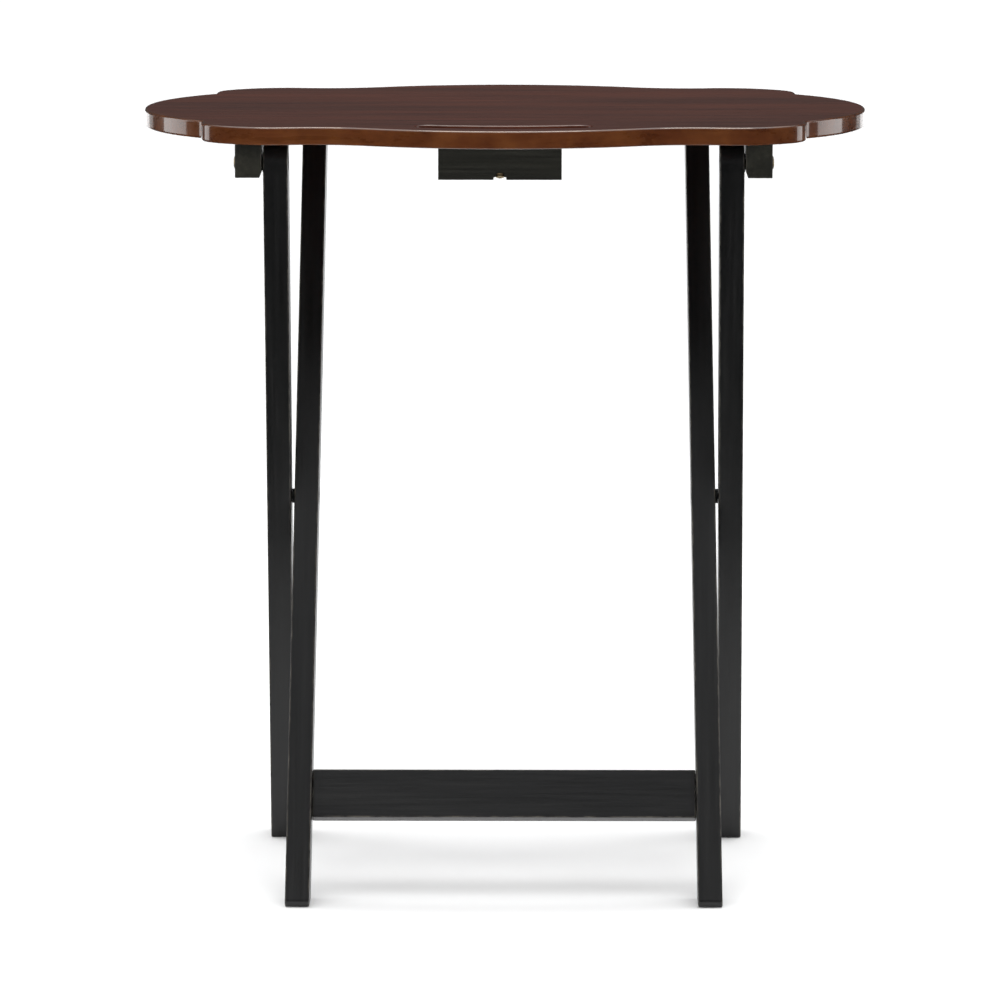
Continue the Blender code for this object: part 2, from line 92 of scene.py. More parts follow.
STRETCHER_DROP = 0.2624
STRETCHER_HEIGHT = 0.0415
STRETCHER_DEPTH = 0.016
CROSSBAR_RADIUS = 0.008
CROSSBAR_SEAT = 0.012
CROSSBAR_CHAMFER = 0.001
CLEAT_INNER = 0.2004
CLEAT_WIDTH = 0.0219
CLEAT_HALF_LENGTH = 0.143
CLEAT_HEIGHT = 0.030
CLEAT_CHAMFER = (0.0017, 0.0050)
CLEAT_ARRIS = 0.0006
CLEAT_X = CLEAT_INNER + CLEAT_WIDTH / 2
BATTEN_BOTTOM = UNDERSIDE - CLEAT_HEIGHT
BLOCK_X = -0.003
BLOCK_WIDTH = 0.102
BLOCK_FRONT = -0.157
BLOCK_DEPTH = 0.021
BLOCK_ARRIS = 0.0006
BLOCK_Y = BLOCK_FRONT + BLOCK_DEPTH / 2
NOTCH_WIDTH = 0.0105
NOTCH_DEPTH = 0.0022

CLIP_X = 0.070
CLIP_WIDTH = 0.018
CLIP_THICKNESS = 0.0015
CLIP_REAR = 0.034
CLIP_LIP = 0.012
CLIP_FLARE = 0.004
CLIP_FLARE_DROP = 0.0015
CLIP_FLARE_END = 0.0005
CLIP_ARRIS = 0.0003
CLIP_PLAY = 0.0007
CLIP_SCREW_IN = 0.006
CLIP_SCREW_Y = 0.0245
HINGE_DROP = UNDERSIDE - HINGE.z

GAP = 0.0003
BOLT_RADIUS = 0.003
BOLT_HEAD_RADIUS = 0.007
BOLT_HEAD = 0.0014
HINGE_HEAD_RADIUS = 0.0055
HINGE_HEAD = 0.0016
RECESS_RADIUS = 0.0076
WASHER_RADIUS = 0.008
WASHER_CHAMFER = 0.0002
SPACER_RADIUS = 0.0062
SPACER_CHAMFER = 0.0003
NUT_FLAT = 0.0058
NUT_HEIGHT = 0.0042
NUT_CHAMFER = 0.0005
NUT_RECESS = 0.0055
HEAD_RECESS = 0.0024
SCREW_RADIUS = 0.0019
SCREW_HEAD_RADIUS = 0.0038
SCREW_HEAD = 0.0024
CLEAT_SCREWS_Y = (-0.085, 0.100)
BLOCK_SCREWS_X = 0.036
SCREW_SINK = 0.014
SCREW_BITE = 0.009
CLIP_SCREW_LENGTH = 0.012
BRASS_SCREW_LENGTH = 0.040
BRASS_SCREW_IN = 0.0008
BRASS_SCREW_UP = 0.0018
BRASS_SCREW_TILT = math.radians(62.0)
STRETCHER_SCREW_LENGTH = 0.042
STRETCHER_SCREW_SPREAD = 0.011
CROSSBAR_SCREW_LENGTH = 0.034
FRAME_SCREW_SUNK = 0.0006
FRAME_SCREW_SEAT = 0.0033

BOLT_HOLE = BOLT_RADIUS + GAP
SCREW_HOLE = SCREW_RADIUS + GAP
HEAD_HOLE = SCREW_HEAD_RADIUS + GAP
LIP = 0.0004

# How far the cutters reach past a surface, and into a piece they go through.
PAST = 0.01
SHORT_PAST = 0.004
LONG_PAST = 0.04
THROUGH_LEG = 0.03
THROUGH_BATTEN = 0.05

# Points round a circle, the longest step along an outline, and the angle that stays sharp.
ROUND = 48
SCREW_ROUND = 32
ARC_STEP = 0.0035
SHARP = math.radians(38)

# Studio: the floor, the black sheet on it that only reflections meet, as painted shade (a ring,
# from an angle and through another in degrees), the sky and the camera.
FLOOR_HALF = 30.0
FLOOR_DROP = 0.0002
FLAG_RADII = (0.29, 28.0)
FLAG_START = 122
FLAG_TURN = 296
FLAG_STEPS = 96
FLAG_HEIGHT = 0.0005
SKY_GLOW = {"From Min": 0.55, "From Max": 0.95, "To Min": 0.07, "To Max": 2.7}
SKY_COLOUR = (0.985, 0.99, 1.0, 1.0)

CAMERA_PLACE = (0.0390, -5.5699, 1.2067)
CAMERA_PITCH = 0.15735
CAMERA_YAW = 0.0070
CAMERA_LENS = 237.45
CAMERA_SHIFT = -0.0049


# Mesh helpers


def new_object(name, bm):
    """An object with the mesh, its faces turned outward."""
    bmesh.ops.recalc_face_normals(bm, faces=bm.faces)
    mesh = bpy.data.meshes.new(name)
    bm.to_mesh(mesh)
    bm.free()
    obj = bpy.data.objects.new(name, mesh)
    bpy.context.scene.collection.objects.link(obj)
    return obj


def put(obj, place, rotation=(0.0, 0.0, 0.0)):
    obj.location = place
    obj.rotation_euler = rotation
    return obj


def soften(obj, width, segments=4):
    """Rounds the square edges. The new faces take the second material slot."""
    bevel = obj.modifiers.new("arris", "BEVEL")
    bevel.width = width
    bevel.segments = segments
    bevel.limit_method = "ANGLE"
    bevel.angle_limit = math.radians(50)
    bevel.material = 1
    bevel.use_clamp_overlap = True


def cut(obj, cutter):
    """Takes the cutter away from the object when it is settled."""
    boolean = obj.modifiers.new(cutter.name, "BOOLEAN")
    boolean.operation = "DIFFERENCE"
    boolean.object = cutter


def settle(obj):
    """Bakes the modifiers and the place into the mesh, and removes the cutters."""
    cutters = [m.object for m in obj.modifiers if m.type == "BOOLEAN"]
    bpy.context.view_layer.update()
    graph = bpy.context.evaluated_depsgraph_get()
    mesh = bpy.data.meshes.new_from_object(obj.evaluated_get(graph))
    mesh.transform(obj.matrix_world)
    obj.modifiers.clear()
    obj.data = mesh
    put(obj, (0.0, 0.0, 0.0))
    for cutter in cutters:
        bpy.data.objects.remove(cutter, do_unlink=True)
    mesh.shade_smooth()
    mesh.set_sharp_from_angle(angle=SHARP)
    normals = obj.modifiers.new("normals", "WEIGHTED_NORMAL")
    normals.keep_sharp = True
    normals.mode = "FACE_AREA"


def show(obj, node, body, slot, materials):
    """The finished piece stands for a CAD node, on that node's body."""
    for material in materials:
        obj.data.materials.append(material)
    settle(obj)
    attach(obj, body)
    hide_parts(node)


def loft(rings, wrap=False, marked=()):
    """A closed skin over rings of points. Its ends are capped, or joined when wrap is set.
    The faces above each ring listed in marked take the second material slot."""
    bm = bmesh.new()
    loops = [[bm.verts.new(point) for point in ring] for ring in rings]
    pairs = list(zip(loops, loops[1:]))
    if wrap:
        pairs.append((loops[-1], loops[0]))
    for level, (low, high) in enumerate(pairs):
        for i in range(len(low)):
            j = (i + 1) % len(low)
            face = bm.faces.new((low[i], low[j], high[j], high[i]))
            face.material_index = 1 if level in marked else 0
    if not wrap:
        bm.faces.new(loops[0])
        bm.faces.new(loops[-1])
    return bm


def circle(radius, z, count=ROUND):
    """A round ring of points at a height."""
    turns = [2 * math.pi * i / count for i in range(count)]
    return [(radius * math.cos(t), radius * math.sin(t), z) for t in turns]


def hexagon(flat, z, limit, count=ROUND):
    """A ring on a hexagon whose corners are turned off at the limit radius."""
    side = math.pi / 3
    ring = []
    for i in range(count):
        turn = 2 * math.pi * i / count
        reach = min(limit, flat / math.cos((turn + side / 2) % side - side / 2))
        ring.append((reach * math.cos(turn), reach * math.sin(turn), z))
    return ring


def turned(profile, count=ROUND):
    """A solid of revolution about Z from (radius, z) steps."""
    return loft([circle(radius, z, count) for radius, z in profile])


def facing(direction):
    """The rotation that points +Z in a direction."""
    return Vector(direction).to_track_quat("Z", "Y").to_euler()


def rounded(corners, steps=8):
    """A polygon of (x, y, radius) corners with each corner turned into an arc."""
    points = []
    for i, (x, y, radius) in enumerate(corners):
        here = Vector((x, y))
        before = (Vector(corners[i - 1][:2]) - here).normalized()
        after = (Vector(corners[(i + 1) % len(corners)][:2]) - here).normalized()
        if not radius:
            points.append(here)
            continue
        half = before.angle(after) / 2
        centre = here + (before + after).normalized() * radius / math.sin(half)
        first = (here + before * radius / math.tan(half) - centre).normalized()
        last = (here + after * radius / math.tan(half) - centre).normalized()
        count = max(2, round(steps * (math.pi - 2 * half) / (math.pi / 2)))
        for k in range(count + 1):
            points.append(centre + radius * first.slerp(last, k / count))
    return [here for i, here in enumerate(points) if (here - points[i - 1]).length > 1e-5]


def prism(outline, low, high, lean=0.0):
    """Extrudes a (y, z) outline along X, its ends leaning outward by lean for each metre down."""
    return loft([[(x - lean * z, y, z) for y, z in outline] for x in (low, high)])


def box(size):
    """A box about the origin."""
    x, y, z = (0.5 * value for value in size)
    return prism([(-y, -z), (y, -z), (y, z), (-y, z)], -x, x)


def drill(obj, start, direction, profile):
    """Cuts a turned shape, given as (radius, distance) steps from the start."""
    cutter = new_object(f"{obj.name}_cut_{len(obj.modifiers)}", turned(profile, SCREW_ROUND))
    cut(obj, put(cutter, start, facing(direction)))


def hole(obj, start, direction, radius, length):
    """Cuts a plain round hole."""
    drill(obj, start, direction, [(radius, 0.0), (radius, length)])


def seat(obj, mouth, direction, radius, depth):
    """A blind round recess with a softened lip, from a mouth on the surface."""
    profile = [(radius + 20 * LIP, -20 * LIP), (radius, LIP), (radius, depth)]
    drill(obj, Vector(mouth), direction, profile)


# Board


def arc(centre, radius, start, end, hollow=False):
    """(point, outward normal) along an arc, angles in radians. A hollow arc faces its centre."""
    count = max(4, math.ceil(abs(end - start) * radius / ARC_STEP))
    out = -1.0 if hollow else 1.0
    for k in range(count + 1):
        turn = start + (end - start) * k / count
        ray = Vector((math.cos(turn), math.sin(turn)))
        yield Vector(centre) + radius * ray, out * ray


def touching(a, reach_a, b, reach_b):
    """The point at these distances from a and b, on the left of the way from a to b."""
    apart = b - a
    along = (apart.length**2 + reach_a**2 - reach_b**2) / (2 * apart.length)
    ahead = apart.normalized()
    off = math.sqrt(reach_a**2 - along**2)
    return a + along * ahead + off * Vector((-ahead.y, ahead.x))


def bend(centre, radius, start, end, hollow=False):
    """An arc between two directions from its centre."""
    turns = [math.atan2(ray.y, ray.x) for ray in (start, end)]
    if hollow:
        turns = [turn % (2 * math.pi) for turn in turns]
    return arc(centre, radius, *turns, hollow)


def quarter_outline():
    """The board's edge from the middle of its back to the middle of its right end."""
    lobe = Vector((0.0, TOP_DEPTH / 2 - LOBE_RADIUS))
    brow = Vector((BROW_X, BROW_Y - BROW_RADIUS))
    corner_x = SIDE_X - CORNER_RADIUS
    rise = math.sqrt((BROW_RADIUS - CORNER_RADIUS) ** 2 - (corner_x - brow.x) ** 2)
    corner = Vector((corner_x, brow.y + rise))
    end = Vector((TOP_WIDTH / 2 - END_RADIUS, 0.0))
    cove = touching(lobe, LOBE_RADIUS + COVE_RADIUS, brow, BROW_RADIUS + COVE_RADIUS)
    nick = touching(corner, CORNER_RADIUS + NICK_RADIUS, end, END_RADIUS + NICK_RADIUS)
    yield from bend(lobe, LOBE_RADIUS, Vector((0.0, 1.0)), cove - lobe)
    yield from bend(cove, COVE_RADIUS, lobe - cove, brow - cove, hollow=True)
    yield from bend(brow, BROW_RADIUS, cove - brow, corner - brow)
    yield from bend(corner, CORNER_RADIUS, corner - brow, nick - corner)
    yield from bend(nick, NICK_RADIUS, corner - nick, end - nick, hollow=True)
    yield from bend(end, END_RADIUS, nick - end, Vector((1.0, 0.0)))


def mirrored(edge, across, along):
    """A (point, normal) of the outline, flipped by -1 in X or Y."""
    point, normal = edge
    flip = Vector((across, along))
    return point * flip, normal * flip


def board_outline():
    """(point, outward normal) all round the board's edge, each point once."""
    quarter = list(quarter_outline())
    half = quarter + [mirrored(edge, 1, -1) for edge in reversed(quarter)]
    whole = half + [mirrored(edge, -1, 1) for edge in reversed(half)]
    kept = []
    for point, normal in whole:
        if not kept or (point - kept[-1][0]).length > 1e-5:
            kept.append((point, normal))
    if (kept[0][0] - kept[-1][0]).length < 1e-5:
        kept.pop()
    return kept


def slot_ring(reach, z):
    """The handle slot's outline at a height: a round-ended band along an arc."""
    centre = Vector((0.0, SLOT_CURVE - TOP_DEPTH / 2))
    middle = SLOT_CURVE - SLOT_INSET
    half = math.radians(SLOT_HALF_ANGLE)
    points = []
    for sign in (1, -1):
        start = -math.pi / 2 - sign * half
        radius = middle + sign * reach
        for k in range(31):
            turn = start + sign * 2 * half * k / 30
            points.append(centre + radius * Vector((math.cos(turn), math.sin(turn))))
        tip_turn = start + sign * 2 * half
        tip = centre + middle * Vector((math.cos(tip_turn), math.sin(tip_turn)))
        for k in range(1, 16):
            turn = tip_turn + (0 if sign > 0 else math.pi) + math.pi * k / 16
            points.append(tip + reach * Vector((math.cos(turn), math.sin(turn))))
    return [(x, y, z) for x, y in points]


def slot_cutter():
    """A spool that leaves both rims of the slot rounded."""
    steps = [k * math.pi / 8 for k in range(5)]
    rings = [slot_ring(SLOT_WIDTH / 2 + 1.5 * SLOT_ROUNDING, -0.004)]
    for turn in steps:
        flare = SLOT_ROUNDING * (1 - math.sin(turn))
        rise = SLOT_ROUNDING * (1 - math.cos(turn))
        rings.append(slot_ring(SLOT_WIDTH / 2 + flare, rise - 0.00001))
    for turn in reversed(steps):
        flare = SLOT_ROUNDING * (1 - math.sin(turn))
        rise = SLOT_ROUNDING * (1 - math.cos(turn))
        rings.append(slot_ring(SLOT_WIDTH / 2 + flare, TOP_THICKNESS - rise + 0.00001))
    rings.append(slot_ring(SLOT_WIDTH / 2 + 1.5 * SLOT_ROUNDING, TOP_THICKNESS + 0.004))
    return new_object("slot_cutter", loft(rings))


def make_board():
    """The scalloped board with rounded rims. Its outer edge takes the edge material."""
    outline = board_outline()
    steps = [k * math.pi / 12 for k in range(7)]
    levels = [(turn, 0.0, 1) for turn in steps]
    levels += [(turn, TOP_THICKNESS, -1) for turn in reversed(steps)]
    rings = []
    for turn, level, inward in levels:
        inset = TOP_ROUNDING * (1 - math.sin(turn))
        z = level + inward * TOP_ROUNDING * (1 - math.cos(turn))
        ring = [point - normal * inset for point, normal in outline]
        rings.append([(x, y, z) for x, y in ring])
    board = new_object("tabletop_board", loft(rings, marked=range(len(levels) - 1)))
    put(board, (0.0, 0.0, UNDERSIDE))
    cut(board, put(slot_cutter(), (0.0, 0.0, UNDERSIDE)))
    return board


# Legs


def leg_outline(toe_side):
    """A leg's side view about the crossing. toe_side is +1 when the long corner is at +Y."""
    half = LEG_DEPTH / 2
    top = UPPER_LENGTH + half
    foot = [(-CROSSING.z - y * toe_side * math.sin(LEAN)) / math.cos(LEAN) for y in (-half, half)]
    radii = (HEEL_RADIUS, TOE_RADIUS) if toe_side > 0 else (TOE_RADIUS, HEEL_RADIUS)
    corners = [
        (half, foot[1], radii[1]),
        (half, top, half),
        (-half, top, half),
        (-half, foot[0], radii[0]),
    ]
    return rounded(corners, steps=16)


def make_leg(name, side, face, lean):
    """A leg with its outer face at X = face at the crossing, spreading outward to its foot."""
    outline = leg_outline(1 if lean > 0 else -1)
    bm = prism(outline, face - LEG_WIDTH, face, SPLAY)
    if side < 0:
        for vert in bm.verts:
            vert.co.x = -vert.co.x
    leg = put(new_object(name, bm), CROSSING, (lean, 0.0, 0.0))
    soften(leg, LEG_ARRIS)
    return leg


def face_at(face, distance):
    """X of a leg face at a distance below the crossing, measured along the leg."""
    return face + SPLAY * distance


def bore(obj, side, point, near, far, radius):
    """A hole along X between two distances from the middle."""
    hole(obj, (side * near, point.y, point.z), (side, 0, 0), radius, far - near)


def recess(obj, side, point, mouth, depth, inward, radius=RECESS_RADIUS):
    """A recess along X in a side face, inward being -1 from an outer face and +1 from an inner."""
    seat(obj, (side * mouth, point.y, point.z), (side * inward, 0, 0), radius, depth)


# Fasteners


def crossed(obj, radius, depth):
    """Sinks a crosshead into a screw's crown."""
    for turn in (math.pi / 4, 3 * math.pi / 4):
        arm = box((2 * radius, 0.26 * radius, 2 * depth))
        cutter = put(new_object(f"{obj.name}_drive_{turn:.0f}", arm), obj.location)
        cutter.rotation_euler = obj.rotation_euler
        cutter.rotation_euler.rotate_axis("Z", turn)
        cut(obj, cutter)


def domed(radius, height, steps=6):
    """(radius, z) steps over a low dome, from its crown down to its rim."""
    profile = [(0.08 * radius, 0.0)]
    for k in range(1, steps + 1):
        turn = 0.5 * math.pi * k / steps
        profile.append((radius * math.sin(turn), height * (1 - math.cos(turn))))
    return profile


def make_screw(name, crown, direction, length):
    """A wood screw from the crown of its head to its point."""
    head = domed(SCREW_HEAD_RADIUS, 0.55 * SCREW_HEAD)
    profile = head + [
        (SCREW_HEAD_RADIUS, SCREW_HEAD),
        (SCREW_RADIUS, SCREW_HEAD + 0.0001),
        (SCREW_RADIUS, length - 2 * SCREW_RADIUS),
        (0.3 * SCREW_RADIUS, length),
    ]
    screw = put(new_object(name, turned(profile, SCREW_ROUND)), crown, facing(direction))
    crossed(screw, 0.55 * SCREW_HEAD_RADIUS, 0.5 * SCREW_HEAD)
    return screw


def make_bolt(name, side, point, under, end, radius, height):
    """A bolt along X. Its shank runs from X = under, the underside of its head, to X = end."""
    length = under + height - end
    profile = domed(radius, 0.8 * height) + [
        (radius, height),
        (BOLT_RADIUS, height + 0.0001),
        (BOLT_RADIUS, length - 0.0005),
        (BOLT_RADIUS - 0.0005, length),
    ]
    place = (side * (under + height), point.y, point.z)
    bolt = put(new_object(name, turned(profile)), place, facing((-side, 0, 0)))
    crossed(bolt, 0.5 * radius, 0.7 * height)
    return bolt


def make_ring(name, side, point, low, high, rim, chamfer):
    """A washer or a nut on a bolt. rim gives its edge at a height and an inset."""
    inner = BOLT_HOLE
    height = high - low
    rings = [
        rim(0.0, chamfer),
        rim(chamfer, 0.0),
        rim(height - chamfer, 0.0),
        rim(height, chamfer),
        circle(inner + chamfer / 2, height),
        circle(inner, height - chamfer / 2),
        circle(inner, chamfer / 2),
        circle(inner + chamfer / 2, 0.0),
    ]
    place = (side * low, point.y, point.z)
    return put(new_object(name, loft(rings, wrap=True)), place, facing((side, 0, 0)))


def round_rim(radius):
    """The rim of a round piece, for make_ring."""
    return lambda z, inset: circle(radius - inset, z)


def nut_rim(z, inset):
    """The rim of a hexagon nut, for make_ring."""
    corner = NUT_FLAT / math.cos(math.pi / 6)
    return hexagon(NUT_FLAT, z, corner - 1.6 * inset)


# Materials


class Shader:
    """A Principled material with helpers for its node tree. A tilt about X turns its grain."""

    def __init__(self, name, tilt=0.0):
        self.material = bpy.data.materials.new(name)
        self.material.use_nodes = True
        self.tree = self.material.node_tree
        self.surface = self.tree.nodes["Principled BSDF"]
        self.coords = self.tree.nodes.new("ShaderNodeTexCoord").outputs["Object"]
        if tilt:
            turn = {"Vector": self.coords, "Rotation": (-tilt, 0.0, 0.0)}
            self.coords = self.node("ShaderNodeMapping", turn).outputs[0]

    def node(self, kind, inputs=None, **settings):
        """A new node. An input is a value or the socket it is joined to."""
        made = self.tree.nodes.new(kind)
        for key, value in settings.items():
            setattr(made, key, value)
        for key, value in (inputs or {}).items():
            if isinstance(value, bpy.types.NodeSocket):
                self.tree.links.new(value, made.inputs[key])
            else:
                made.inputs[key].default_value = value
        return made

    def noise(self, scale, seed, detail=4.0, roughness=0.55, distortion=0.0):
        """Noise over the object's own coordinates, scaled for each axis."""
        place = {"Vector": self.coords, "Scale": scale, "Location": (seed, 2.3 * seed, 5.1 * seed)}
        mapped = self.node("ShaderNodeMapping", place).outputs[0]
        settings = {"Vector": mapped, "Scale": 1.0, "Detail": detail}
        settings["Roughness"] = roughness
        settings["Distortion"] = distortion
        return self.node("ShaderNodeTexNoise", settings).outputs["Fac"]

    def ramp(self, value, stops):
        """Turns a value into a colour by (position, colour) stops."""
        made = self.node("ShaderNodeValToRGB", {"Fac": value})
        elements = made.color_ramp.elements
        while len(elements) < len(stops):
            elements.new(0.5)
        for element, (position, colour) in zip(elements, stops):
            element.position = position
            element.color = (*colour, 1.0)
        return made.outputs["Color"]

    def span(self, value, low, high, out_low, out_high):
        """Maps low..high of a value onto out_low..out_high."""
        numbers = {"Value": value, "From Min": low, "From Max": high}
        numbers.update({"To Min": out_low, "To Max": out_high})
        return self.node("ShaderNodeMapRange", numbers).outputs[0]

    def mix(self, factor, a, b, blend="MIX"):
        """Blends two colours, each of the three a value or a socket."""
        made = self.node("ShaderNodeMix", data_type="RGBA", blend_type=blend)
        for index, value in ((0, factor), (6, a), (7, b)):
            if isinstance(value, bpy.types.NodeSocket):
                self.tree.links.new(value, made.inputs[index])
            elif index:
                made.inputs[index].default_value = (*value, 1.0)
            else:
                made.inputs[index].default_value = value
        return made.outputs[2]

    def add(self, a, b, share=1.0):
        """a + share * b"""
        numbers = self.node("ShaderNodeMath", operation="MULTIPLY_ADD")
        self.tree.links.new(b, numbers.inputs[0])
        numbers.inputs[1].default_value = share
        self.tree.links.new(a, numbers.inputs[2])
        return numbers.outputs[0]

    def bump(self, height, strength, distance):
        """Joins a height to the surface's normal."""
        values = {"Height": height, "Strength": strength, "Distance": distance}
        normal = self.node("ShaderNodeBump", values).outputs[0]
        self.tree.links.new(normal, self.surface.inputs["Normal"])

    def put(self, name, value):
        """Sets a socket of the surface to a value, or joins it to another socket."""
        socket = self.surface.inputs[name]
        if isinstance(value, bpy.types.NodeSocket):
            self.tree.links.new(value, socket)
        else:
            socket.default_value = (*value, 1.0) if isinstance(value, tuple) else value


DEEP_MAHOGANY = [
    (0.30, (0.045, 0.0095, 0.0040)),
    (0.52, (0.068, 0.0150, 0.0062)),
    (0.75, (0.098, 0.0220, 0.0090)),
]
THIN_MAHOGANY = [
    (0.30, (0.048, 0.0110, 0.0026)),
    (0.52, (0.068, 0.0175, 0.0040)),
    (0.75, (0.096, 0.0275, 0.0064)),
]
OLIVE_BLACK = [
    (0.32, (0.0110, 0.0110, 0.0088)),
    (0.55, (0.0190, 0.0186, 0.0142)),
    (0.78, (0.0320, 0.0305, 0.0225)),
]
LEG_BLACK = [
    (0.32, (0.0036, 0.0037, 0.0040)),
    (0.55, (0.0062, 0.0063, 0.0066)),
    (0.78, (0.0110, 0.0110, 0.0108)),
]


def stretched(axis, along, across):
    """A noise scale for grain that runs along one axis."""
    return tuple(along if i == axis else across for i in range(3))


def mahogany(name, axis, seed, edge):
    """Dark red-brown lacquered wood. At the edge its stain is thin, and orange shows through."""
    s = Shader(name)
    figure = s.noise(stretched(axis, 1.6, 17.0), seed, detail=5.0, distortion=0.6)
    streak = s.noise(stretched(axis, 5.0, 150.0), seed + 3, detail=4.0, roughness=0.65)
    pores = s.noise(stretched(axis, 45.0, 950.0), seed + 7, detail=2.0)
    tone = s.ramp(figure, THIN_MAHOGANY if edge else DEEP_MAHOGANY)
    lines = s.ramp(streak, [(0.32, (0.55, 0.50, 0.48)), (0.60, (1.0, 1.0, 1.0)),
                            (0.80, (1.22, 1.16, 1.10))])
    colour = s.mix(0.75, tone, lines, "MULTIPLY")
    dots = s.ramp(pores, [(0.34, (0.35, 0.30, 0.28)), (0.46, (1.0, 1.0, 1.0))])
    colour = s.mix(0.15 if edge else 0.50, colour, dots, "MULTIPLY")
    if edge:
        patch = s.noise((38.0, 38.0, 38.0), seed + 11, detail=5.0)
        colour = s.mix(s.span(patch, 0.40, 0.70, 0.0, 0.55), colour, (0.115, 0.038, 0.009))
    s.put("Base Color", colour)
    s.put("Roughness", s.span(streak, 0.3, 0.7, 0.24, 0.36))
    s.put("Specular IOR Level", 0.15 if edge else 0.40)
    s.put("Coat Weight", 1.0 if edge else 0.05)
    s.put("Coat IOR", 1.5 if edge else 1.7)
    s.put("Coat Roughness", 0.07)
    s.bump(s.add(streak, pores, 0.5), 0.03 if edge else 0.10, 0.0004)
    return s.material


def black_wood(name, axis, seed, edge, tilt=0.0, stain=OLIVE_BLACK):
    """Black-stained wood under satin lacquer, with the grain just showing. Its edges get lighter
    patches, partly rubbed wear and partly a painted highlight.
    """
    s = Shader(name, tilt)
    figure = s.noise(stretched(axis, 3.0, 40.0), seed, detail=5.0, distortion=0.5)
    streak = s.noise(stretched(axis, 9.0, 330.0), seed + 3, detail=4.0, roughness=0.65)
    pores = s.noise(stretched(axis, 70.0, 1300.0), seed + 7, detail=2.0)
    tone = s.ramp(figure, stain)
    lines = s.ramp(streak, [(0.35, (0.62, 0.62, 0.62)), (0.58, (1.0, 1.0, 1.0)),
                            (0.78, (1.75, 1.72, 1.55))])
    colour = s.mix(0.8, tone, lines, "MULTIPLY")
    if edge:
        # Lighter patches on the rounded edges: partly rubbed wear, partly a painted highlight
        # along the arrises.
        wear_and_highlight = s.noise((85.0, 85.0, 85.0), seed + 11, detail=5.0)
        amount = s.span(wear_and_highlight, 0.42, 0.68, 0.10, 0.80)
        colour = s.mix(amount, colour, (0.075, 0.068, 0.056))
    s.put("Base Color", colour)
    s.put("Roughness", s.span(streak, 0.3, 0.7, 0.30, 0.42))
    s.put("Specular IOR Level", 0.42)
    s.put("Coat Weight", 0.05)
    s.put("Coat Roughness", 0.22)
    s.bump(s.add(streak, pores, 0.6), 0.22, 0.0004)
    return s.material


def metal(name, colour, dull, roughness, seed):
    """Plain metal with fine drawn lines, and tarnish in soft patches."""
    s = Shader(name)
    patches = s.noise((260.0, 260.0, 260.0), seed, detail=5.0)
    lines = s.noise((900.0, 900.0, 90.0), seed + 5, detail=3.0)
    s.put("Base Color", s.mix(s.span(patches, 0.35, 0.7, 0.0, 1.0), colour, dull))
    s.put("Metallic", 1.0)
    s.put("Roughness", s.span(lines, 0.3, 0.7, roughness - 0.06, roughness + 0.10))
    s.bump(lines, 0.12, 0.0001)
    return s.material


def nylon(name, seed):
    """Black moulded nylon with a fine matt skin."""
    s = Shader(name)
    skin = s.noise((1400.0, 1400.0, 1400.0), seed, detail=3.0)
    patches = s.noise((180.0, 180.0, 180.0), seed + 2)
    s.put("Base Color", s.mix(s.span(patches, 0.3, 0.7, 0.0, 1.0), (0.010,) * 3, (0.018,) * 3))
    s.put("Roughness", s.span(skin, 0.3, 0.7, 0.42, 0.58))
    s.bump(skin, 0.2, 0.0001)
    return s.material


def pale_floor():
    """White paper with the faintest unevenness."""
    s = Shader("pale_floor")
    haze = s.noise((0.9, 0.9, 0.9), 1.0)
    s.put("Base Color", s.mix(haze, (0.93, 0.93, 0.925), (0.95, 0.95, 0.945)))
    s.put("Roughness", 0.9)
    s.put("Specular IOR Level", 0.1)
    return s.material


def dark_reflection_sheet():
    """A black sheet with a fine weave and no sheen, seen only in reflections as painted shade."""
    s = Shader("dark_reflection_sheet")
    weave = s.noise((400.0, 400.0, 400.0), 2.0)
    s.put("Base Color", s.mix(weave, (0.010, 0.010, 0.010), (0.020, 0.020, 0.020)))
    s.put("Roughness", 1.0)
    s.put("Specular IOR Level", 0.0)
    return s.material


def pair(kind, name, axis, seed, *more):
    """A wood's two materials: its faces and its edges."""
    return kind(name, axis, seed, False, *more), kind(name + "_edge", axis, seed, True, *more)


X, Y, Z = range(3)
UP = (0.0, 0.0, 1.0)
SIDES = (("left", -1), ("right", 1))

brass = metal("brass", (0.42, 0.33, 0.19), (0.20, 0.155, 0.09), 0.34, 2.0)
zinc = metal("zinc_steel", (0.56, 0.56, 0.55), (0.42, 0.42, 0.41), 0.34, 4.0)
black_steel = metal("black_steel", (0.055, 0.055, 0.058), (0.032, 0.032, 0.034), 0.38, 6.0)
spring_steel = metal("spring_steel", (0.60, 0.60, 0.60), (0.48, 0.48, 0.47), 0.28, 8.0)
black_nylon = nylon("black_nylon", 3.0)


# The top


def build_board():
    """The board, with blind holes from below for the screws of the cleats and the block."""
    board = make_board()
    materials = pair(mahogany, "mahogany", X, 1.7)
    for side in (-1, 1):
        places = [(side * CLEAT_X, y) for y in CLEAT_SCREWS_Y]
        places.append((BLOCK_X + side * BLOCK_SCREWS_X, BLOCK_Y))
        for x, y in places:
            start = (x, y, UNDERSIDE - SHORT_PAST)
            hole(board, start, UP, SCREW_HOLE, SCREW_BITE + SHORT_PAST)
    show(board, "tabletop", "top", "mahogany", materials)


